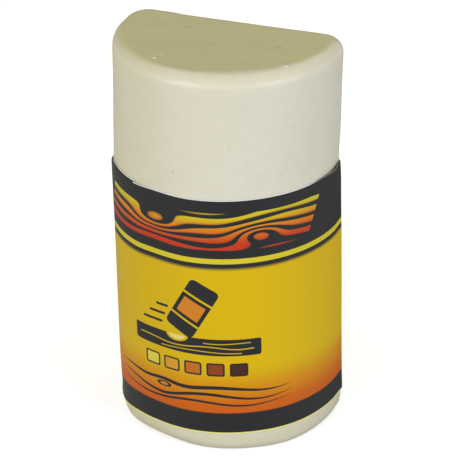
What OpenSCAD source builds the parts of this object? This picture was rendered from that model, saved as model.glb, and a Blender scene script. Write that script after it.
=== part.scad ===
// Furniture repair wax stick: a moulded block of filler wax with a half-round
// front and a flat back, and a printed label wound once round it and lapped
// over its own inner end. Millimetres, +Z up, front towards -Y. The origin is
// in the middle of the foot, halfway between the front and the flat back.

/* [Wax block] */
// Height of the block, foot to top face
stick_h = 50.8; // [42:0.1:80]
// Width of the block, which is also the width of its half-round front
stick_w = 28; // [22:0.5:40]
// Depth from the centre of the half-round front to the flat back
back_d = 4.24; // [3.6:0.02:10]
// Radius of the two upright rear corners
corner_r = 3; // [2:0.1:3.5]
// Radius of the soft edge round the top face
top_r = 1.6; // [0.4:0.1:1.9]
// Radius of the soft edge round the foot
foot_r = 1.5; // [0.4:0.1:1.9]

/* [Label] */
// Height of the label
label_h = 31.75; // [20:0.05:34]
// Height of the label's lower edge above the foot
label_z = 3.05; // [2:0.05:5]
// Thickness of the printed sheet
sheet_t = 0.11; // [0.08:0.01:0.3]
// Thickness of the adhesive coat on the back of the sheet
glue_t = 0.03; // [0.03:0.01:0.1]

/* [Lap] */
// Length by which the sheet's outer end covers its inner end
lap_l = 10.2; // [4:0.1:14]
// Angle from the middle of the front to the sheet's inner end, towards the left
lap_from = 31; // [20:1:45]
// Length over which the sheet climbs onto its own inner end
climb_l = 0.6; // [0.4:0.1:2]

/* [Hidden] */
$fn = 96;

front_r = stick_w / 2;
side_l = back_d - corner_r;           // straight part of each side
flat_w = stick_w - 2 * corner_r;      // straight part of the back
centre_y = (front_r - back_d) / 2;    // puts the origin halfway along the depth
layer_t = sheet_t + glue_t;           // one wound layer
gap_l = climb_l / 4;                  // from the inner end to the climb
lap_a = lap_l / (front_r + 1.5 * layer_t) * 180 / PI;
far = 3 * stick_w;

// Puts children at the centre of the half-round front.
module at_front() translate([0, centre_y, 0]) children();

// Puts children at the sheet's inner end: +X outwards, -Y along the lap.
module at_seam() rotate([0, 0, -90 - lap_from]) children();

// Plan outline of the block, grown outwards by o.
module outline(o) {
    intersection() {
        circle(r = front_r + o);
        translate([-front_r - o, -front_r - o]) square([stick_w + 2 * o, front_r + o]);
    }
    translate([-front_r - o, -0.1]) square([stick_w + 2 * o, side_l + 0.1]);
    translate([-flat_w / 2, -0.1]) square([flat_w, back_d + o + 0.1]);
    for (s = [-1, 1]) translate([s * flat_w / 2, side_l]) circle(r = corner_r + o);
}

// Plan of a skin t thick that stands o off the block.
module skin(o, t) difference() {
    outline(o + t);
    outline(o);
}

// Part of the plan beside the seam, from y to y + dy.
module beside_seam(y, dy) at_seam() translate([0, y]) square([far, dy]);

// Part of the plan that the lap takes up, starting y before the seam.
module over_lap(y) at_seam() polygon([
    [0, y], [far, y], far * [cos(lap_a / 2), -sin(lap_a / 2)], far * [cos(lap_a), -sin(lap_a)], [0, 0]
]);

// Upright half section of the block from the axis out to r, with both soft edges.
module half_section(r) difference() {
    square([r, stick_h]);
    translate([r - top_r, stick_h - top_r]) difference() {
        square([top_r + 1, top_r + 1]);
        circle(r = top_r);
    }
    translate([r - foot_r, foot_r]) difference() {
        translate([0, -foot_r - 1]) square([foot_r + 1, foot_r + 1]);
        circle(r = foot_r);
    }
}

module wax_block() color([0.87, 0.85, 0.78]) at_front() {
    // half-round front
    rotate([0, 0, 180]) rotate_extrude(angle = 180) half_section(front_r);
    // body behind the front, up to the corners' centres
    rotate([90, 0, 180]) linear_extrude(side_l)
        for (s = [0, 1]) mirror([s, 0]) half_section(front_r);
    // middle of the back
    translate([-flat_w / 2, 0, 0]) rotate([90, 0, 90]) linear_extrude(flat_w) half_section(back_d);
    // rear corners
    for (s = [-1, 1]) translate([s * flat_w / 2, side_l, 0])
        rotate([0, 0, s > 0 ? 0 : 90]) rotate_extrude(angle = 90) half_section(corner_r);
}

module label_adhesive() color([0.86, 0.84, 0.76]) at_front()
    translate([0, 0, label_z]) linear_extrude(label_h) {
        // coat between the sheet and the wax
        skin(0, glue_t);
        // what fills the channel beside the sheet's inner end
        intersection() {
            skin(0, layer_t + glue_t);
            beside_seam(0, gap_l);
        }
        // coat between the two layers of the lap
        intersection() {
            skin(layer_t, glue_t);
            over_lap(gap_l / 2);
        }
    }

module label_sheet() color([0.83, 0.7, 0.13]) at_front()
    translate([0, 0, label_z]) linear_extrude(label_h) {
        // once round the block
        difference() {
            skin(glue_t, sheet_t);
            beside_seam(0, climb_l / 2);
        }
        // the climb onto the inner end
        intersection() {
            skin(glue_t, layer_t + sheet_t);
            beside_seam(gap_l, climb_l - gap_l);
        }
        // the lap
        intersection() {
            skin(layer_t + glue_t, sheet_t);
            over_lap(climb_l / 2);
        }
    }

wax_block();
label_adhesive();
label_sheet();
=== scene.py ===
import bpy
import math
import numpy as np
from mathutils import Matrix, Vector, noise


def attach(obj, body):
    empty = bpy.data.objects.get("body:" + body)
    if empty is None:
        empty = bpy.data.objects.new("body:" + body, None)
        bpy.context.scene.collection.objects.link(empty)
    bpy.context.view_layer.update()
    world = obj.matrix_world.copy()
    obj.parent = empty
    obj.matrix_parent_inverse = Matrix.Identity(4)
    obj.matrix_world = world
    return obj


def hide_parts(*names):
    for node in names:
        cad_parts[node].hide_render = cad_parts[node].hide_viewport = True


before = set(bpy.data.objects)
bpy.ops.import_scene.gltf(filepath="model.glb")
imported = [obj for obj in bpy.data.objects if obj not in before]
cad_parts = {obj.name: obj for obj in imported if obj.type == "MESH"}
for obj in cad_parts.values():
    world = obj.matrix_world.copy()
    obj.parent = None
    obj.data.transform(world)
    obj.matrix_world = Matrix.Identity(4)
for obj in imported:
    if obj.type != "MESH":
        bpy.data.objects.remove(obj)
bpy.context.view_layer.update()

MM = 0.001

# ---------------------------------------------------------------- sizes, in mm
R = 14.0          # half-round front
BACK = 4.24       # from its centre to the flat back
RC = 3.0          # rear corners
H = 50.8
RT = 1.6          # edge round the top face
RB = 1.5          # edge round the foot
CY = 4.88         # centre of the half-round front, in the row frame
SIDE = BACK - RC
FLAT = R - RC

GLUE = 0.03
SHEET = 0.11
LAYER = GLUE + SHEET
LABEL_Z = 3.03    # lower edge at the middle of the front
LABEL_H = 31.83
LAP = 10.2
SEAM = -math.radians(31) * R     # where the sheet's inner end lies, left of the front's middle
TILT = 0.0136     # the label sits a little askew, its right side higher
DRIFT = 0.15      # and comes round this much lower than it began

ARC = R * math.pi / 2
CORNER = RC * math.pi / 2
HALF = ARC + SIDE + CORNER + FLAT
ROUND = 2 * HALF                 # once round the block

# ------------------------------------------------------------------ the plan


def plan(s):
    """Points and outward normals of the block's plan, s mm along it from the middle of the front, to the right."""
    s = (np.asarray(s, float) + HALF) % ROUND - HALF
    side = np.where(s < 0, -1.0, 1.0)
    t = np.abs(s)
    x, y, nx, ny = (np.zeros_like(t) for _ in range(4))
    m = t <= ARC
    a = t / R - math.pi / 2
    x[m], y[m], nx[m], ny[m] = (v[m] for v in (R * np.cos(a), R * np.sin(a), np.cos(a), np.sin(a)))
    m = (t > ARC) & (t <= ARC + SIDE)
    x[m], y[m], nx[m], ny[m] = R, (t - ARC)[m], 1, 0
    m = (t > ARC + SIDE) & (t <= ARC + SIDE + CORNER)
    a = (t - ARC - SIDE) / RC
    x[m], y[m], nx[m], ny[m] = (v[m] for v in (FLAT + RC * np.cos(a), SIDE + RC * np.sin(a), np.cos(a), np.sin(a)))
    m = t > ARC + SIDE + CORNER
    x[m], y[m], nx[m], ny[m] = (HALF - t)[m], BACK, 0, 1
    return side * x, y, side * nx, ny


def smooth(a, b, x):
    """0 at a, 1 at b, smooth between, whichever of the two is larger."""
    t = np.clip((np.asarray(x, float) - a) / (b - a), 0, 1)
    return t * t * (3 - 2 * t)


def swell(s, z):
    """How far the cast face of the block stands off its ideal shape, in mm."""
    s = (np.asarray(s, float) + HALF) % ROUND - HALF
    a = s * 2 * math.pi / ROUND
    z = np.asarray(z, float)
    waist = 0.05 * smooth(33.5, 37.0, z) * smooth(49.0, 45.0, z)
    waist = waist + 0.12 * np.exp(-(((s - 24.5) / 3.5) ** 2)) * np.exp(-(((z - 35.6) / 1.9) ** 2))
    tuck = (0.05 + 0.11 * np.exp(-(((z - 2.3) / 1.6) ** 2))) * np.exp(-(((s + 16.5) / 3.6) ** 2)) * smooth(8.0, 4.5, z)
    corner = 0.19 * np.exp(-(((s + 26.6) / 2.8) ** 2)) + 0.13 * np.exp(-(((s + 29.9) / 1.3) ** 2)) + 0.09 * np.exp(-(((s + 20.6) / 2.4) ** 2))
    corner = corner * smooth(46.0, 50.0, z)
    return (
        0.022 * np.sin(2 * a + 0.8 + 0.05 * z)
        + 0.014 * np.sin(5 * a - 0.11 * z + 2.1)
        + 0.012 * np.sin(3 * a + 0.19 * z + 4.0)
        + 0.010 * np.sin(7 * a + 0.31 * z)
        - 0.03 - waist - tuck + corner
    )


def foot_edge(s):
    """Radius of the soft edge round the foot, which the casting leaves uneven."""
    s = (np.asarray(s, float) + HALF) % ROUND - HALF
    sharp = 0.28 * np.exp(-(((s + 11.5) / 3.0) ** 2)) + 0.30 * np.exp(-(((s - 12.0) / 3.5) ** 2))
    return RB + 0.80 * np.exp(-(((s + 4.6) / 4.9) ** 2)) - sharp


def bow(z):
    """The stick leans a little one way below the label's top and back again above it, in mm."""
    z = np.asarray(z, float)
    low = -0.16 + 0.0120 * (34.0 - z) - 0.22 * smooth(3.2, 0.2, z)
    high = -0.20 + 0.0225 * (z - 34.0)
    return np.logaddexp(low * 22, high * 22) / 22 - 0.03


LEAN = np.array([math.cos(math.radians(21.54)), math.sin(math.radians(21.54))])


def placed(x, y, z):
    """Points in the row frame, in metres, from plan x and y and height, in mm."""
    b = bow(z)
    return np.stack([x + LEAN[0] * b, y + CY + LEAN[1] * b, z], -1) * MM


def mesh_object(name, verts, faces, materials, face_material=None, smooth_shade=True):
    me = bpy.data.meshes.new(name)
    me.from_pydata([tuple(v) for v in verts], [], [tuple(int(i) for i in f) for f in faces])
    me.validate()
    for m in materials:
        me.materials.append(m)
    if face_material is not None:
        me.polygons.foreach_set("material_index", np.asarray(face_material, np.int32))
    me.polygons.foreach_set("use_smooth", [smooth_shade] * len(me.polygons))
    me.update()
    ob = bpy.data.objects.new(name, me)
    bpy.context.scene.collection.objects.link(ob)
    return ob


# ------------------------------------------------------- numbers in materials


class Num:
    """A number that a material works out at each point. Arithmetic on it adds Math nodes."""

    def __init__(self, tree, socket):
        self.tree, self.socket = tree, socket

    def op(self, kind, *others, clamp=False):
        n = self.tree.nodes.new("ShaderNodeMath")
        n.operation, n.use_clamp = kind, clamp
        for i, v in enumerate((self,) + others):
            if isinstance(v, Num):
                self.tree.links.new(v.socket, n.inputs[i])
            else:
                n.inputs[i].default_value = float(v)
        return Num(self.tree, n.outputs[0])

    def __add__(self, o): return self.op("ADD", o)
    __radd__ = __add__
    def __sub__(self, o): return self.op("SUBTRACT", o)
    def __rsub__(self, o): return self.op("MULTIPLY", -1.0) + o
    def __mul__(self, o): return self.op("MULTIPLY", o)
    __rmul__ = __mul__
    def __truediv__(self, o): return self.op("DIVIDE", o)
    def __neg__(self): return self.op("MULTIPLY", -1.0)
    def __abs__(self): return self.op("ABSOLUTE")
    def max(self, o): return self.op("MAXIMUM", o)
    def min(self, o): return self.op("MINIMUM", o)
    def sin(self): return self.op("SINE")
    def sqrt(self): return self.op("SQRT")
    def exp(self): return self.op("EXPONENT")
    def fract(self): return self.op("FRACT")

    def rise(self, a, b):
        """0 up to a, 1 from b, smooth between. With a above b it falls."""
        n = self.tree.nodes.new("ShaderNodeMapRange")
        n.interpolation_type = "SMOOTHSTEP"
        lo, hi = (0.0, 1.0) if a < b else (1.0, 0.0)
        a, b = min(a, b), max(a, b)
        self.tree.links.new(self.socket, n.inputs["Value"])
        n.inputs["From Min"].default_value, n.inputs["From Max"].default_value = a, b
        n.inputs["To Min"].default_value, n.inputs["To Max"].default_value = lo, hi
        return Num(self.tree, n.outputs["Result"])

    def inside(self, soft=0.035):
        """1 where a signed distance is below 0."""
        return self.rise(soft, -soft)


def between(v, a, b, soft=0.035):
    return v.rise(a - soft, a + soft) * v.rise(b + soft, b - soft)


def box_distance(u, v, hu, hv, r=0.0):
    """Signed distance to a box of half sizes hu, hv with corner radius r."""
    du, dv = abs(u) - (hu - r), abs(v) - (hv - r)
    out = (du.max(0) * du.max(0) + dv.max(0) * dv.max(0)).sqrt()
    return out + du.max(dv).min(0) - r


def turned(u, v, degrees):
    c, s = math.cos(math.radians(degrees)), math.sin(math.radians(degrees))
    return u * c + v * s, v * c - u * s


def mix(tree, fac, a, b):
    """Colour a where fac is 0, b where it is 1. Each is an (r, g, b) or a socket."""
    n = tree.nodes.new("ShaderNodeMix")
    n.data_type = "RGBA"
    ins = {i.identifier: i for i in n.inputs}
    for key, v in (("A_Color", a), ("B_Color", b)):
        if isinstance(v, tuple):
            ins[key].default_value = (*v, 1)
        else:
            tree.links.new(v, ins[key])
    if isinstance(fac, Num):
        tree.links.new(fac.socket, ins["Factor_Float"])
    else:
        ins["Factor_Float"].default_value = fac
    return next(o for o in n.outputs if o.identifier == "Result_Color")


def noise_at(tree, vec, scale, detail=2.0, rough=0.5, distort=0.0, kind="Fac"):
    n = tree.nodes.new("ShaderNodeTexNoise")
    n.inputs["Scale"].default_value = scale
    n.inputs["Detail"].default_value = detail
    n.inputs["Roughness"].default_value = rough
    n.inputs["Distortion"].default_value = distort
    tree.links.new(vec, n.inputs["Vector"])
    return Num(tree, n.outputs["Fac"])


def position(tree, stretch=(1, 1, 1)):
    """The point on the piece, in mm."""
    c = tree.nodes.new("ShaderNodeTexCoord")
    m = tree.nodes.new("ShaderNodeMapping")
    m.inputs["Scale"].default_value = tuple(1000 * k for k in stretch)
    tree.links.new(c.outputs["Object"], m.inputs["Vector"])
    return m.outputs["Vector"]


def split(tree, vec):
    n = tree.nodes.new("ShaderNodeSeparateXYZ")
    tree.links.new(vec, n.inputs[0])
    return tuple(Num(tree, o) for o in n.outputs)


def material(name):
    m = bpy.data.materials.new(name)
    m.use_nodes = True
    t = m.node_tree
    return m, t, t.nodes["Principled BSDF"]


def bump(tree, bsdf, height, distance, strength=1.0):
    n = tree.nodes.new("ShaderNodeBump")
    n.inputs["Strength"].default_value = strength
    n.inputs["Distance"].default_value = distance * MM
    tree.links.new(height.socket, n.inputs["Height"])
    tree.links.new(n.outputs["Normal"], bsdf.inputs["Normal"])
    return n


def srgb(r, g, b):
    return tuple((c / 255 / 12.92) if c / 255 <= 0.04045 else ((c / 255 + 0.055) / 1.055) ** 2.4 for c in (r, g, b))


# ------------------------------------------------------------------ materials


def far_from(tree, vec, point):
    """Distance of each point, in mm, from one point."""
    n = tree.nodes.new("ShaderNodeVectorMath")
    n.operation = "DISTANCE"
    tree.links.new(vec, n.inputs[0])
    n.inputs[1].default_value = tuple(float(c) for c in point)
    return Num(tree, n.outputs["Value"])


def on_side(s, z):
    """The point of the cast block's side s mm along its plan, in mm."""
    x, y, nx, ny = plan([s])
    g = swell([s], z)
    return placed(x + nx * g, y + ny * g, np.array([float(z)]))[0] / MM


def on_top(x, y):
    """The point of the block's top face over plan x and y, in mm."""
    return placed(np.array([float(x)]), np.array([float(y)]), np.array([H - 0.05]))[0] / MM


def wax_material():
    m, t, b = material("filler_wax")
    p = position(t)
    uv = t.nodes.new("ShaderNodeUVMap")
    uv.uv_map = "tone"
    ends, warm, _ = split(t, uv.outputs["UV"])
    cloud = noise_at(t, p, 0.16, 3.0, 0.55)
    mottle = noise_at(t, p, 0.85, 4.0, 0.6, 0.4)
    grain = noise_at(t, p, 6.0, 3.0, 0.65)
    speck = noise_at(t, p, 2.1, 1.0, 0.4)
    pebble = noise_at(t, p, 2.7, 2.0, 0.5)
    # painted shade: the top face, much of its rounded edge and the foot are darker and more yellow than the sides, and
    # the sides turn a little more yellow towards the foot
    col = mix(t, warm, (0.745, 0.718, 0.588), (0.735, 0.685, 0.360))
    col = mix(t, ends, col, (0.558, 0.526, 0.304))
    # where that painted shade is at part strength, on the top edge's rounding and low on the sides, it turns paler and
    # less yellow
    col = mix(t, ends.rise(0.05, 0.40) * ends.rise(0.90, 0.55) * 0.34, col, (0.700, 0.668, 0.600))
    shade = (cloud - 0.5) * 0.8 + (mottle - 0.5) * 0.9 + (grain - 0.5) * 0.30
    col = mix(t, shade.op("MULTIPLY", 0.30, clamp=True), col, (0.52, 0.46, 0.28))
    col = mix(t, (-shade).op("MULTIPLY", 0.22, clamp=True), col, (0.90, 0.89, 0.82))
    col = mix(t, speck.rise(0.755, 0.81) * 0.30, col, (0.36, 0.32, 0.20))
    # small marks: dark flecks, darker pits, and pale raised nicks, partly whitish scuffed wax and partly a painted
    # highlight
    for at, radius, strength, tone in MARKS:
        mark = (far_from(t, p, at) + (mottle - 0.5) * radius).rise(radius, radius * 0.25) * strength
        col = mix(t, mark, col, tone)
    t.links.new(col, b.inputs["Base Color"])
    b.inputs["Subsurface Weight"].default_value = 0.25
    b.inputs["Subsurface Radius"].default_value = (1.0, 0.75, 0.42)
    b.inputs["Subsurface Scale"].default_value = 0.0016
    b.inputs["IOR"].default_value = 1.44
    b.inputs["Specular IOR Level"].default_value = 0.46
    rough = (mottle - 0.5) * 0.26 + (grain - 0.5) * 0.20 + 0.40
    t.links.new(rough.socket, b.inputs["Roughness"])
    dents = noise_at(t, p, 0.55, 3.0, 0.5)
    height = dents * 1.0 + mottle * 0.40 + pebble * 0.24 + grain * 0.12
    bump(t, b, height, 0.09, 0.6)
    return m


def print_material():
    """The label's printed face: bands and lines in label space, in mm, u from the middle of the front and v from the lower edge."""
    m, t, b = material("printed_paper")
    uv = t.nodes.new("ShaderNodeUVMap")
    uv.uv_map = "print"
    x, y, _ = split(t, uv.outputs["UV"])
    u, v = x * 100.0, y * 100.0
    p = position(t)
    fine = noise_at(t, p, 7.0, 2.0, 0.6)
    cloud = noise_at(t, p, 0.45, 2.0, 0.5)

    # panel: yellow, running through amber to orange low down
    low = v + (cloud - 0.5) * 0.3
    col = mix(t, low.rise(9.6, 5.6), YELLOW, AMBER)
    col = mix(t, low.rise(6.3, 3.3), col, ORANGE)

    # figures on the panel, front and back
    for fig in (front_figures(u, v), back_figures(u - BACK_U, v)):
        col = mix(t, fig["ink"], col, INK)
        for mask, tone in fig["tones"]:
            col = mix(t, mask, col, tone)

    # dark line, soft on its lower side, and the two dark bands
    dark = v.rise(22.38, 23.0) * v.rise(23.46, 23.39)
    dark = dark.max(v.rise(24.07, 24.14))
    dark = dark.max(v.rise(0.14, 0.20) * v.rise(2.88, 2.64))
    col = mix(t, dark, col, INK)
    col = mix(t, between(v, 23.43, 24.10), col, LINE)
    edge = mix(t, fine.rise(0.45, 0.62), (0.84, 0.78, 0.11), (0.90, 0.88, 0.45))
    col = mix(t, v.rise(0.205, 0.135), col, edge)

    # wood-grain strip on the upper band
    strip, under = grain_strip(u, v)
    hot = mix(t, v.rise(29.9, 27.9), (0.66, 0.56, 0.014), (0.70, 0.235, 0.014))
    hot = mix(t, v.rise(28.3, 25.9), hot, (0.58, 0.045, 0.012))
    hot = mix(t, under * 0.6, hot, (0.32, 0.030, 0.010))
    col = mix(t, strip, col, hot)

    # painted highlight: a pale line along the cut upper edge, right of the seam, mostly fading beside the right rear
    # corner
    rim = v.rise(LABEL_H - 0.10, LABEL_H - 0.06) * u.rise(SEAM - 0.25, SEAM - 0.15)
    rim = rim * (1.0 - u.rise(15.5, 18.0) * u.rise(29.0, 26.0) * 0.85)
    col = mix(t, rim, col, (0.84, 0.84, 0.83))

    # ink lies a little unevenly
    col = mix(t, (fine - 0.45).op("MULTIPLY", 0.16, clamp=True), col, (0.021, 0.021, 0.023))
    t.links.new(col, b.inputs["Base Color"])
    b.inputs["IOR"].default_value = 1.45
    b.inputs["Specular IOR Level"].default_value = 0.32
    rough = (fine - 0.5) * 0.14 + (cloud - 0.5) * 0.10 + 0.45
    t.links.new(rough.socket, b.inputs["Roughness"])
    bump(t, b, fine * 0.5 + cloud * 1.0, 0.02, 0.35)
    return m


INK = (0.0230, 0.0244, 0.0268)
YELLOW = (0.712, 0.476, 0.0020)
AMBER = (0.672, 0.262, 0.0030)
ORANGE = (0.615, 0.120, 0.0050)
LINE = (0.690, 0.592, 0.026)
BACK_U = HALF      # middle of the back, in label space


def grain_strip(u, v):
    """A strip of wood grain with slanted ends: bold lines that part round two knots. Gives the lines and their lower borders."""
    total = under = None
    for middle, flip, reach in ((1.4, 1.0, 15.2), (BACK_U, -1.0, 8.4)):
        du = (u - middle) * flip
        dv = v - 27.7
        a = du - dv * 0.42
        wave = (du * 0.42 + 0.6).sin() * 0.30 + (du * 0.19 + 2.0).sin() * 0.35
        k1u, k1v = (du + 5.6) / 3.3, (dv - 0.35) / 1.35
        k2u, k2v = (du - 7.4) / 2.6, (dv + 0.5) / 1.1
        f = dv + wave + (-(k1u * k1u + k1v * k1v)).exp() * 2.6 - (-(k2u * k2u + k2v * k2v)).exp() * 2.2
        saw = (f / 1.28 + 20.0).fract() - 0.5
        # half width of each bright line, which swells and thins along the strip
        wide = 0.27 + ((du * 0.55 + dv * 0.8).sin()) * 0.05
        stripe = (abs(saw) - wide).rise(0.035, -0.035)
        one = stripe * box_distance(a, dv, reach, 2.45, 0.35).inside(0.05)
        low = (-saw / wide).rise(0.25, 1.0)
        total = one if total is None else total.max(one)
        under = low * one if under is None else under.max(low * one)
    return total, under


def grain_lines(u, v, at, reach, knot_at):
    """Three tapering lines of grain that bend round the eye of a knot."""
    total = None
    taper = (u / reach) * (u / reach)
    for k, (base, amp, ph, wid) in enumerate(((2.0, 0.30, 0.0, 0.26), (0.95, 0.36, 0.7, 0.21), (0.0, 0.26, 1.5, 0.16))):
        ku = (u - knot_at) / 2.4
        knot = (-(ku * ku)).exp() * (0.62, -0.26, -0.12)[k]
        half = (1.0 - taper).max(0.0) * wid
        line = (abs(v - at - base - (u * 0.46 + ph).sin() * amp - knot) - half).rise(0.03, -0.03) * (abs(u) - reach).inside()
        total = line if total is None else total.max(line)
    eu, ev = (u - knot_at) / 1.05, (v - at - 1.62) / 0.36
    return total.max((abs((eu * eu + ev * ev).sqrt() - 0.8) - 0.24).rise(0.10, -0.10))


def front_figures(u, v):
    """Generic figures for the front panel: a stick filling a dent in a board, a scale of five shades, and grain."""
    tones = []
    # the board, its grain and the dent
    board = box_distance(u - 0.3, v - 11.95, 8.5, 1.15, 0.3)
    du, dv = (u + 1.7) / 1.5, (v - 13.15) / 0.92
    dent = ((du * du + dv * dv).sqrt() - 1.0) * 0.9
    grain = (abs(v - 11.85 - (u * 0.75).sin() * 0.15) - 0.075).max(abs(u - 0.3) - 7.6)
    grain = grain.min((abs(v - 11.25 - (u * 0.6 + 1.3).sin() * 0.10) - 0.06).max(abs(u - 1.2) - 5.2))
    grain = grain.min((abs(v - 12.5 - (u * 0.8 + 2.0).sin() * 0.07) - 0.06).max(abs(u - 4.6) - 2.9))
    ink = board.max(-dent).max(-grain).inside()
    tones.append(((dent + 0.24).max(board + 0.02).inside(), (0.80, 0.70, 0.24)))
    # the stick, with its own label
    su, sv = turned(u - 0.35, v - 17.05, -30)
    stick = box_distance(su, sv, 2.0, 3.75, 0.65)
    band = abs(abs(sv + 0.1) - 1.75) - 0.14
    ink = ink.max(stick.max(-band).inside())
    tones.append((box_distance(su, sv + 0.1, 1.5, 1.15, 0.12).inside(), (0.66, 0.225, 0.016)))
    # strokes for the rubbing
    for k in range(3):
        ink = ink.max(box_distance(u + 5.2 - 0.75 * k, v - 14.4 - 1.15 * k, 1.5 - 0.3 * k, 0.17, 0.16).inside())
    # scale of shades
    for i, tone in enumerate(((0.76, 0.62, 0.075), (0.69, 0.34, 0.020), (0.54, 0.155, 0.015), (0.28, 0.060, 0.012), (0.070, 0.024, 0.012))):
        cu = u - 0.3 - 2.85 * (i - 2)
        ink = ink.max(box_distance(cu, v - 8.85, 1.12, 0.92, 0.30).inside())
        tones.append((box_distance(cu, v - 8.85, 0.90, 0.70, 0.14).inside(), tone))
    ink = ink.max(grain_lines(u, v, 4.0, 13.0, -3.8))
    return {"ink": ink, "tones": tones}


def back_figures(u, v):
    """Generic figures for the back panel: fill, level and wipe, each in a frame, over a few lines of grain."""
    ink, tones = grain_lines(u, v, 6.0, 10.2, 3.4), []
    for k in range(3):
        cu, cv = u - 7.0 * (k - 1), v - 15.2
        ink = ink.max((abs(box_distance(cu, cv, 2.95, 2.95, 0.7)) - 0.14).inside())
        board = box_distance(cu, cv + 1.45, 2.25, 0.62, 0.12)
        dent = (((cu + 0.2) * (cu + 0.2) + (cv + 0.72) * (cv + 0.72)).sqrt()) - 0.62
        ink = ink.max(board.max(-dent).inside())
        if k == 0:
            tool = box_distance(*turned(cu - 0.45, cv - 0.75, -30), 0.62, 1.35, 0.2)
        else:
            tones.append((dent.max(board).inside(), (0.76, 0.62, 0.075)))
            if k == 1:
                tool = box_distance(*turned(cu - 0.15, cv - 0.72, 38), 0.15, 1.75, 0.05)
                tool = tool.min(box_distance(*turned(cu + 0.62, cv - 1.72, 38), 0.42, 0.55, 0.2))
            else:
                tool = box_distance(cu - 0.1, cv - 0.02 - (cu * 2.6).sin() * 0.12, 1.45, 0.62, 0.5)
        ink = ink.max(tool.inside())
    # small arrows from one frame to the next
    for x in (-3.5, 3.5):
        ink = ink.max((abs(v - 15.2) * 0.85 + (u - x) - 0.20).max(x - 0.22 - u).inside())
    return {"ink": ink, "tones": tones}


def paper_material(name="label_paper", colour=(0.78, 0.77, 0.74)):
    m, t, b = material(name)
    p = position(t, (1, 1, 0.4))
    fibre = noise_at(t, p, 5.0, 4.0, 0.7, 0.6)
    dark = tuple(c * 0.86 for c in colour)
    uv = t.nodes.new("ShaderNodeUVMap")
    uv.uv_map = "print"
    u = split(t, uv.outputs["UV"])[0] * 100.0
    # painted shade: the cut edge is darker beside the rear corners, where it lies in shade
    edge_shade = (u.rise(15.5, 19.0) * u.rise(29.0, 26.0)).max(u.rise(-11.5, -14.0)).max(u.rise(50.0, 56.0) * u.rise(66.5, 63.0))
    col = mix(t, edge_shade * 0.86, mix(t, fibre, colour, dark), (0.11, 0.105, 0.070))
    t.links.new(col, b.inputs["Base Color"])
    t.links.new(((fibre - 0.5) * 0.2 + 0.8).socket, b.inputs["Roughness"])
    bump(t, b, fibre, 0.02, 0.4)
    return m


def glue_material():
    m, t, b = material("label_glue")
    p = position(t)
    smear = noise_at(t, p, 1.4, 3.0, 0.6, 0.8)
    t.links.new(mix(t, smear, (0.30, 0.17, 0.07), (0.17, 0.085, 0.035)), b.inputs["Base Color"])
    t.links.new(((smear - 0.5) * 0.3 + 0.38).socket, b.inputs["Roughness"])
    bump(t, b, smear, 0.02, 0.5)
    return m


# ------------------------------------------------------------------ wax block

NICKS = [  # place on the plan in mm, half sizes along x and y, height; below 0 is a pit
    (-5.35, -10.2, 0.34, 0.12, 0.085), (-5.3, -8.95, 0.30, 0.22, 0.030), (9.95, -7.35, 0.34, 0.10, 0.070),
    (10.9, -6.6, 0.30, 0.09, 0.035), (1.3, -9.95, 0.20, 0.16, -0.075), (1.5, -10.3, 0.16, 0.10, 0.030),
    (-5.25, -0.3, 0.42, 0.22, -0.050), (7.15, -2.25, 0.45, 0.20, -0.045), (2.05, -2.8, 0.16, 0.14, -0.050),
    (-8.65, -1.65, 0.25, 0.20, -0.035), (-10.3, -8.6, 0.18, 0.12, 0.040), (6.1, 1.7, 0.30, 0.18, -0.035),
    (-1.6, -6.3, 0.22, 0.16, -0.025), (4.7, -7.4, 0.50, 0.30, -0.018), (-9.9, 0.9, 0.35, 0.2, -0.03),
]


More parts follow.
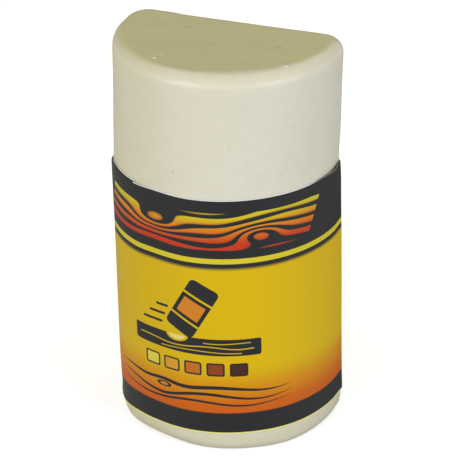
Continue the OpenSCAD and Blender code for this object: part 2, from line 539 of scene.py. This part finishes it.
def build_wax():
    n = 440
    s = np.linspace(0, ROUND, n, endpoint=False)
    x, y, nx, ny = plan(s)
    rb = foot_edge(s)
    one = np.ones(n)
    rings = []  # each is (inset from the plan, z, how far it is to the centre of a cap, distance from the top edge's start)
    for t in np.linspace(0, 1, 75)[1:]:
        rings.append((RT * one, H * one, t, (t - 1) * 9.0))
    for a in np.linspace(90, 0, 19)[1:]:
        r = math.radians(a)
        rings.append(((RT - RT * math.cos(r)) * one, (H - RT + RT * math.sin(r)) * one, 1, RT * math.radians(90 - a)))
    for k in np.linspace(0, 1, 90)[1:-1]:
        z = H - RT + k * (rb - (H - RT))
        rings.append((0 * one, z, 1, H - z + 0.9))
    for a in np.radians(np.linspace(0, 90, 13)):
        rings.append((rb - rb * math.cos(a), rb - rb * math.sin(a), 1, 50.0))
    for t in np.linspace(1, 0, 15)[1:-1]:
        rings.append((rb, 0 * one, t, 50.0))
    centre = np.array([0.0, -3.6])
    verts, tones = [], []
    for inset, z, t, along in rings:
        grow = swell(s, z) * (1 if t == 1 else t)
        px, py = x - nx * (inset - grow), y - ny * (inset - grow)
        px, py = centre[0] + (px - centre[0]) * t, centre[1] + (py - centre[1]) * t
        share = np.clip((z - (H - RT)) / RT, 0, 1)
        pz = z + top_relief(px, py, t) * share if share.max() > 0 else z
        verts.append(placed(px, py, pz))
        # painted shade of the top face, its rounded edge and the foot, kept in the tone map
        tones.append(np.stack(wax_shade_tones(s, z, along), 1))
    k = len(rings)
    verts = np.concatenate(verts + [placed(np.array([centre[0]]), np.array([centre[1]]), np.array([H + float(top_relief(centre[:1], centre[1:], 0)[0])])),
                                    placed(np.array([centre[0]]), np.array([centre[1]]), np.array([0.0]))])
    tones = np.concatenate(tones + [np.array([[1.0, 0.0], [0.43, 0.5]])])
    top, foot = k * n, k * n + 1
    i = np.arange(n)
    j = (i + 1) % n
    faces = []
    for r in range(k - 1):
        a, b = r * n, (r + 1) * n
        faces += list(np.stack([a + i, b + i, b + j, a + j], 1))
    faces += [(top, i0, j0) for i0, j0 in zip(i, j)]
    a = (k - 1) * n
    faces += [(foot, a + j0, a + i0) for i0, j0 in zip(i, j)]
    ob = mesh_object("wax_block_cast", verts, faces, [WAX])
    me = ob.data
    loops = np.empty(len(me.loops), np.int32)
    me.loops.foreach_get("vertex_index", loops)
    me.uv_layers.new(name="tone").data.foreach_set("uv", tones[loops].astype(np.float32).ravel())
    me.update()
    return ob


def wax_shade_tones(s, z, along):
    """Strength of the painted shade on the top face, its rounded edge and the foot, and of the warm tone, which near
    the foot is part of that painted shade, along mm past the start of the top edge's rounding.
    """
    s = (np.asarray(s, float) + HALF) % ROUND - HALF
    z = z + 0 * s
    middle = 0.85 - 1.35 * np.exp(-(((s - 7.0) / 11.5) ** 2)) + 0.07 * np.sin(1.3 * s + 1.0) + 0.05 * np.sin(2.9 * s)
    wide = 0.50 + 0.30 * smooth(0.0, -9.0, s) + 0.20 * smooth(12.0, 20.0, s)
    rest = (0.43 + 0.10 * smooth(0.0, -8.0, s)) * smooth(2.35, 1.45, along + 0.3 * (1 - np.exp(-(((s - 8.0) / 9.0) ** 2))))
    face = rest + (1 - rest) * smooth(middle + wide, middle - wide, along)
    foot = smooth(3.4, 0.8, z)
    warm = 0.20 * smooth(-2.0, -9.0, s) + 0.06 * smooth(20.0, 25.0, s) + 0.20 * smooth(-3.0, -10.0, s) * smooth(4.0, 0.5, along)
    warm = warm + foot * (0.50 + 0.45 * np.exp(-(((s + 13.0) / 7.0) ** 2)) + 0.30 * smooth(12.0, 20.0, s))
    foot = foot * (0.43 + 0.17 * np.exp(-(((s + 11.0) / 5.0) ** 2)) + 0.06 * smooth(12.0, 20.0, s))
    return np.maximum(face, foot), np.clip(warm, 0, 1)


def top_relief(px, py, t):
    """Unevenness of the top face, in mm: a slight sink in the middle, soft ripples, and a few small nicks and pits."""
    px, py = np.asarray(px, float), np.asarray(py, float)
    z = -0.05 * (1 - np.clip(t, 0, 1)) - 0.06 + np.zeros_like(px)
    z = z + 0.012 * np.sin(px * 0.62 + 0.4 * py) + 0.010 * np.sin(py * 0.9 - px * 0.3 + 1.0) + 0.006 * np.sin(px * 1.9 + py * 1.3)
    for cx, cy, rx, ry, h in NICKS:
        q = ((px - cx) / rx) ** 2 + ((py - cy) / ry) ** 2
        z = z + h * np.exp(-q * 1.2)
    return z


# ---------------------------------------------------------------------- label


def sheet_way(w):
    """Where the sheet lies w mm along it from its inner end: place s on the plan, and how many layers lift it."""
    s = SEAM - w
    lift = smooth(ROUND - 3.2, ROUND - 0.05, w)
    return s, lift


def stand_off(s, z):
    """Gap between the adhesive and the wax, in mm: the sheet springs off a little beside the rear corners, most at its top edge on the right."""
    s = (np.asarray(s, float) + HALF) % ROUND - HALF
    high = np.clip((z - 24.0) / 11.0, 0, 1)
    right = np.exp(-(((s - 20.7) / 2.1) ** 2)) * smooth(24.0, 21.6, s) * (0.38 * high ** 4 + 0.01)
    left = np.exp(-(((s + 24.6) / 3.2) ** 2)) * (0.02 * high ** 3 + 0.006)
    low = np.clip((8.0 - z) / 5.0, 0, 1)
    return right + left + np.exp(-(((np.abs(s) - 25.0) / 2.5) ** 2)) * 0.02 * low ** 2


def askew(s, v):
    """How far the sheet lies above its straight course, in mm: its cut edges wander a little, most at the left."""
    s = (np.asarray(s, float) + HALF) % ROUND - HALF
    up = v / LABEL_H
    dips = 0.10 * np.exp(-(((s + 16.6) / 1.6) ** 2)) + 0.25 * np.exp(-(((s - 24.9) / 1.3) ** 2)) + 0.04 * np.exp(-(((s - 14.0) / 3.0) ** 2))
    left = 0.11 * smooth(0.0, -7.0, s) * smooth(-40.0, -20.0, s) + 0.16 * np.exp(-(((s + 3.8) / 3.0) ** 2))
    high = 0.09 * up ** 3 + left * up ** 2 - dips * up ** 4
    low = 0.22 - 0.09 * smooth(12.0, 18.0, s)
    # and all of it lies lower behind than in front
    foot = (1 - up) ** 3
    port = 0.86 * foot * smooth(-6.8, -14.5, s) + 1.10 * (1 - foot) * smooth(-12.0, -19.0, s)
    port = port + (0.76 - port) * smooth(-28.0, -37.7, s)
    star = 0.50 * (foot * smooth(21.8, 25.5, s) + (1 - foot) * smooth(23.3, 25.5, s))
    star = star + (0.76 - star) * smooth(28.0, 37.7, s)
    return high - low * np.exp(-((v / 2.0) ** 2)) - np.where(s < 0, port, star)


def label_surface(w, v, off):
    """Points of the sheet, w along it, v above its lower edge, off mm out from the wax."""
    s, lift = sheet_way(w)
    x, y, nx, ny = plan(s)
    z = LABEL_Z + v + TILT * x - DRIFT * (w - (ROUND + SEAM)) / ROUND + askew(s, v)
    ripple = 0.004 * np.sin(s * 1.1 + 0.5 * np.sin(z * 0.3)) * smooth(0, 8, np.abs(z - 18)) + 0.003 * np.sin(z * 0.8 + s * 0.35)
    o = off + lift * LAYER + stand_off(s, z) + swell(s, z) + 0.004 + ripple
    return placed(x + nx * o, y + ny * o, z)


def bake_places(me, w, v, outer, w0, w1, v1):
    """Places on one square for the sheet: its printed face in two rows, the front's the larger, then its back, then its cut edges."""
    counts = np.array([p.loop_total for p in me.polygons])
    loops = np.empty(len(me.loops), np.int32)
    me.loops.foreach_get("vertex_index", loops)
    face = np.repeat(np.arange(len(counts)), counts)
    u = ROUND + SEAM - w
    is_outer = np.bincount(face, loops < outer) == counts
    is_inner = np.bincount(face, loops >= outer) == counts
    mean_u = np.bincount(face, u[loops]) / counts
    x, y = np.zeros(len(loops)), np.zeros(len(loops))

    def put(which, low, high, bottom, top):
        m = which[face]
        x[m] = 0.006 + 0.988 * (u[loops][m] - low) / (high - low)
        y[m] = bottom + (top - bottom) * v[loops][m] / v1

    front = is_outer & (mean_u < BREAK)
    put(front, ROUND + SEAM - w1, BREAK, 0.474, 0.994)
    put(is_outer & ~front, BREAK, ROUND + SEAM - w0, 0.112, 0.462)
    put(is_inner, ROUND + SEAM - w1, ROUND + SEAM - w0, 0.044, 0.100)
    # the cut edges: two long ones, each a line of its own, and the two ends beside one another
    rim = ~(is_outer | is_inner)
    mean_v = np.bincount(face, v[loops]) / counts
    mean_w = np.bincount(face, w[loops]) / counts
    across = (loops >= outer).astype(float)
    for which, base in ((rim & (mean_v > v1 - 1e-6), 0.026), (rim & (mean_v < 1e-6), 0.010)):
        m = which[face]
        x[m] = 0.006 + 0.80 * (u[loops][m] - (ROUND + SEAM - w1)) / (w1 - w0)
        y[m] = base + 0.009 * across[m]
    for which, base in ((rim & (mean_w < w0 + 1e-6), 0.026), (rim & (mean_w > w1 - 1e-6), 0.010)):
        m = which[face]
        x[m] = 0.83 + 0.16 * v[loops][m] / v1
        y[m] = base + 0.009 * across[m]
    return np.stack([x, y], 1)


BREAK = 22.0  # place of the break between the two rows, in label space


def build_shell(name, w0, w1, v0, v1, off0, off1, materials, nw, nv, printed=False):
    """A closed sheet between two offsets; its outer face takes the first material and the rest the second."""
    w = np.unique(np.concatenate([np.linspace(w0, w1, nw), np.linspace(ROUND - 2.0, ROUND + 0.6, 53), [ROUND + SEAM - BREAK]]))
    w = w[(w >= w0) & (w <= w1)]
    v = np.linspace(v0, v1, nv)
    W, V = np.meshgrid(w, v, indexing="ij")
    a, b = len(w), len(v)
    round_over = 0.02
    outer = label_surface(W, np.clip(V, v0, v1), off1)
    inner = label_surface(W, V, off0)
    verts = np.concatenate([outer.reshape(-1, 3), inner.reshape(-1, 3)])
    idx = np.arange(a * b).reshape(a, b)
    jdx = idx + a * b
    faces, mat = [], []

    def quads(p, q, r, t, m):
        f = np.stack([p.ravel(), q.ravel(), r.ravel(), t.ravel()], 1)
        faces.extend(f)
        mat.extend([m] * len(f))

    quads(idx[:-1, :-1], idx[:-1, 1:], idx[1:, 1:], idx[1:, :-1], 0)
    quads(jdx[:-1, :-1], jdx[1:, :-1], jdx[1:, 1:], jdx[:-1, 1:], 1)
    quads(idx[:-1, -1], jdx[:-1, -1], jdx[1:, -1], idx[1:, -1], 1)
    for k in range(1, a):  # where the sheet laps itself the upper cut edge takes the printed face's material, dark there
        if w[a - k] > ROUND + 0.2:
            mat[-k] = 0
    quads(idx[:-1, 0], idx[1:, 0], jdx[1:, 0], jdx[:-1, 0], 1)
    quads(idx[0, :-1], jdx[0, :-1], jdx[0, 1:], idx[0, 1:], 1)
    quads(idx[-1, :-1], idx[-1, 1:], jdx[-1, 1:], jdx[-1, :-1], 1)
    ob = mesh_object(name, verts, faces, materials, mat)
    # sharp borders between the faces and the cut edges
    me = ob.data
    edge_mat = np.array([p.material_index for p in me.polygons])
    layer = me.uv_layers.new(name="print")
    uw = np.concatenate([W.ravel(), W.ravel()])
    uvv = np.concatenate([V.ravel(), V.ravel()])
    loops = np.empty(len(me.loops), np.int32)
    me.loops.foreach_get("vertex_index", loops)
    uv = np.stack([(ROUND + SEAM - uw[loops]) * 0.01, uvv[loops] * 0.01], 1)
    layer.data.foreach_set("uv", uv.astype(np.float32).ravel())
    if printed:
        bake = bake_places(me, uw, uvv, a * b, w0, w1, v1)
        me.uv_layers.new(name="OFBake").data.foreach_set("uv", bake.astype(np.float32).ravel())
        me.uv_layers.active = me.uv_layers["print"]
        me.uv_layers["print"].active_render = True
    me.update()
    with_sharp(ob, 50)
    return ob


def with_sharp(ob, degrees):
    """Marks edges sharper than this, so that smooth faces keep a crisp cut edge."""
    import bmesh
    bm = bmesh.new()
    bm.from_mesh(ob.data)
    for e in bm.edges:
        if len(e.link_faces) == 2 and e.calc_face_angle(0) > math.radians(degrees):
            e.smooth = False
    bm.to_mesh(ob.data)
    bm.free()


# mark colours: dark for flecks and for the top face's pits, brown for two larger pits and a spot on the back, and pale
# for the raised nicks, partly whitish scuffed wax and partly a painted highlight
DARK_FLECK, BROWN, SCUFF_AND_GLINT = (0.30, 0.26, 0.15), (0.44, 0.30, 0.20), (0.95, 0.94, 0.90)
MARKS = [  # place on the block in mm, radius, strength and colour
    (on_top(1.3, -9.95), 0.22, 0.55, DARK_FLECK), (on_top(-5.25, -0.3), 0.60, 0.30, BROWN), (on_top(7.15, -2.25), 0.55, 0.36, BROWN),
    (on_top(2.05, -2.8), 0.20, 0.40, DARK_FLECK), (on_top(-8.65, -1.65), 0.35, 0.22, DARK_FLECK), (on_top(-5.45, -10.3), 0.30, 0.75, SCUFF_AND_GLINT), (on_top(-5.2, -9.0), 0.26, 0.45, SCUFF_AND_GLINT), (on_top(9.95, -7.35), 0.26, 0.80, SCUFF_AND_GLINT), (on_top(10.7, -6.75), 0.18, 0.45, SCUFF_AND_GLINT),
    (on_side(-1.65, 38.05), 0.17, 0.45, DARK_FLECK), (on_side(11.7, 37.7), 0.18, 0.30, DARK_FLECK), (on_side(6.8, 46.9), 0.20, 0.22, DARK_FLECK),
    (on_side(5.25, 42.05), 0.20, 0.25, DARK_FLECK), (on_side(31.0, 41.5), 0.25, 0.35, DARK_FLECK), (on_side(-33.5, 45.0), 0.30, 0.30, BROWN),
    (on_side(44.0, 38.2), 0.18, 0.40, DARK_FLECK), (on_side(-21.0, 42.6), 0.22, 0.25, DARK_FLECK),
]

WAX = wax_material()
PRINT = print_material()
PAPER = paper_material()
GLUE_MAT = glue_material()

wax = build_wax()
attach(wax, "root")
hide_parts("wax_block")

length = ROUND + LAP
sheet = build_shell("label_sheet_printed", 0.0, length, 0.0, LABEL_H, GLUE, GLUE + SHEET, [PRINT, PAPER], 560, 97, printed=True)
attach(sheet, "root")
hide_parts("label_sheet")

glue = build_shell("label_adhesive_coat", 0.35, length - 0.5, 0.15, LABEL_H - 0.10, 0.005, GLUE - 0.002, [GLUE_MAT, GLUE_MAT], 420, 61)
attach(glue, "root")
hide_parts("label_adhesive")

# ---------------------------------------------------------------------- stage


def build_stage():
    m, t, b = material("pale_floor")
    p = position(t)
    n = noise_at(t, p, 0.02, 3.0, 0.5)
    t.links.new(mix(t, n, (0.90, 0.90, 0.90), (0.88, 0.88, 0.88)), b.inputs["Base Color"])
    b.inputs["Roughness"].default_value = 0.9
    b.inputs["Specular IOR Level"].default_value = 0.1
    b.inputs["Emission Color"].default_value = (0.90, 0.93, 1.0, 1)
    b.inputs["Emission Strength"].default_value = 0.50
    size = 1.6
    steps = 24
    c = np.linspace(-size, size, steps)
    X, Y = np.meshgrid(c, c, indexing="ij")
    verts = np.stack([X.ravel(), Y.ravel(), np.zeros(X.size)], 1)
    idx = np.arange(X.size).reshape(X.shape)
    f = np.stack([idx[:-1, :-1].ravel(), idx[1:, :-1].ravel(), idx[1:, 1:].ravel(), idx[:-1, 1:].ravel()], 1)
    floor = mesh_object("floor", verts, f, [m])
    # the white floor doesn't glare on the stick: the world lights it from below instead
    floor.visible_diffuse = floor.visible_glossy = False


def area(name, at, to, size, power, colour):
    d = bpy.data.lights.new(name, "AREA")
    d.shape = "RECTANGLE"
    d.size, d.size_y = size
    d.energy = power
    d.color = colour
    o = bpy.data.objects.new(name, d)
    bpy.context.scene.collection.objects.link(o)
    o.location = at
    o.rotation_euler = (Vector(to) - Vector(at)).to_track_quat("-Z", "Y").to_euler()
    return o


def build_light():
    world = bpy.data.worlds.new("studio")
    world.use_nodes = True
    bpy.context.scene.world = world
    t = world.node_tree
    bg = t.nodes["Background"]
    c = t.nodes.new("ShaderNodeTexCoord")
    x, y, z = split(t, c.outputs["Generated"])
    sky = mix(t, z.rise(0.0, 0.9), (0.22, 0.222, 0.205), (0.70, 0.67, 0.54))
    # low down the room is brightest at both sides, and darkest behind the camera and at the right rear
    front, right = x * 0.367 - y * 0.930, x * 0.930 + y * 0.367
    dim = front.rise(0.25, 0.85) * 0.60 + front.rise(-0.15, -0.65) * (right.rise(-0.3, 0.3) * 0.48 + 0.22)
    low = mix(t, dim, (0.52, 0.512, 0.455), (0.02, 0.02, 0.02))
    t.links.new(mix(t, z.rise(0.02, -0.25), sky, low), bg.inputs["Color"])
    bg.inputs["Strength"].default_value = 1.0
    for name, azimuth, power, colour in (("key_left", -20.5, 2.00, (0.985, 0.985, 1.01)), ("key_right", 66.0, 2.02, (0.935, 0.97, 1.14))):
        az, el = math.radians(azimuth), math.radians(15)
        at = Vector((math.sin(az) * math.cos(el), -math.cos(az) * math.cos(el), math.sin(el))) * 0.65 + Vector((0, 0, 0.03))
        area(name, at, (0, 0, 0.028), (0.28, 0.28), power, colour)


def build_camera():
    el, az, roll = (math.radians(v) for v in (27.5678, 21.5404, -0.85783))
    pan, tilt = 0.004775, 0.002674
    back = Vector((math.sin(az) * math.cos(el), -math.cos(az) * math.cos(el), math.sin(el)))
    fwd = -back
    right = fwd.cross(Vector((0, 0, 1))).normalized()
    up = right.cross(fwd)
    r2 = right * math.cos(roll) + up * math.sin(roll)
    u2 = up * math.cos(roll) - right * math.sin(roll)
    target = Vector((0, -0.35 * R + CY, 3.62341 * R / 2)) * MM
    place = target + back * (24.54852 * R * MM)
    fw = fwd * (math.cos(pan) * math.cos(tilt)) + r2 * (math.sin(pan) * math.cos(tilt)) + u2 * math.sin(tilt)
    fw.normalize()
    rr = fw.cross(u2).normalized()
    uu = rr.cross(fw)
    cam = bpy.data.cameras.new("camera")
    cam.sensor_width = 36
    cam.lens = 2803.0957 / 458 * 36
    cam.clip_start, cam.clip_end = 0.02, 20
    ob = bpy.data.objects.new("camera", cam)
    bpy.context.scene.collection.objects.link(ob)
    ob.matrix_world = Matrix(((rr.x, uu.x, -fw.x, place.x), (rr.y, uu.y, -fw.y, place.y), (rr.z, uu.z, -fw.z, place.z), (0, 0, 0, 1)))
    bpy.context.scene.camera = ob


build_stage()
build_light()
build_camera()

scene = bpy.context.scene
scene.view_settings.view_transform = "Standard"
scene.view_settings.look = "None"
scene.view_settings.exposure = 0.0
scene.view_settings.gamma = 1.0

bpy.context.view_layer.update()
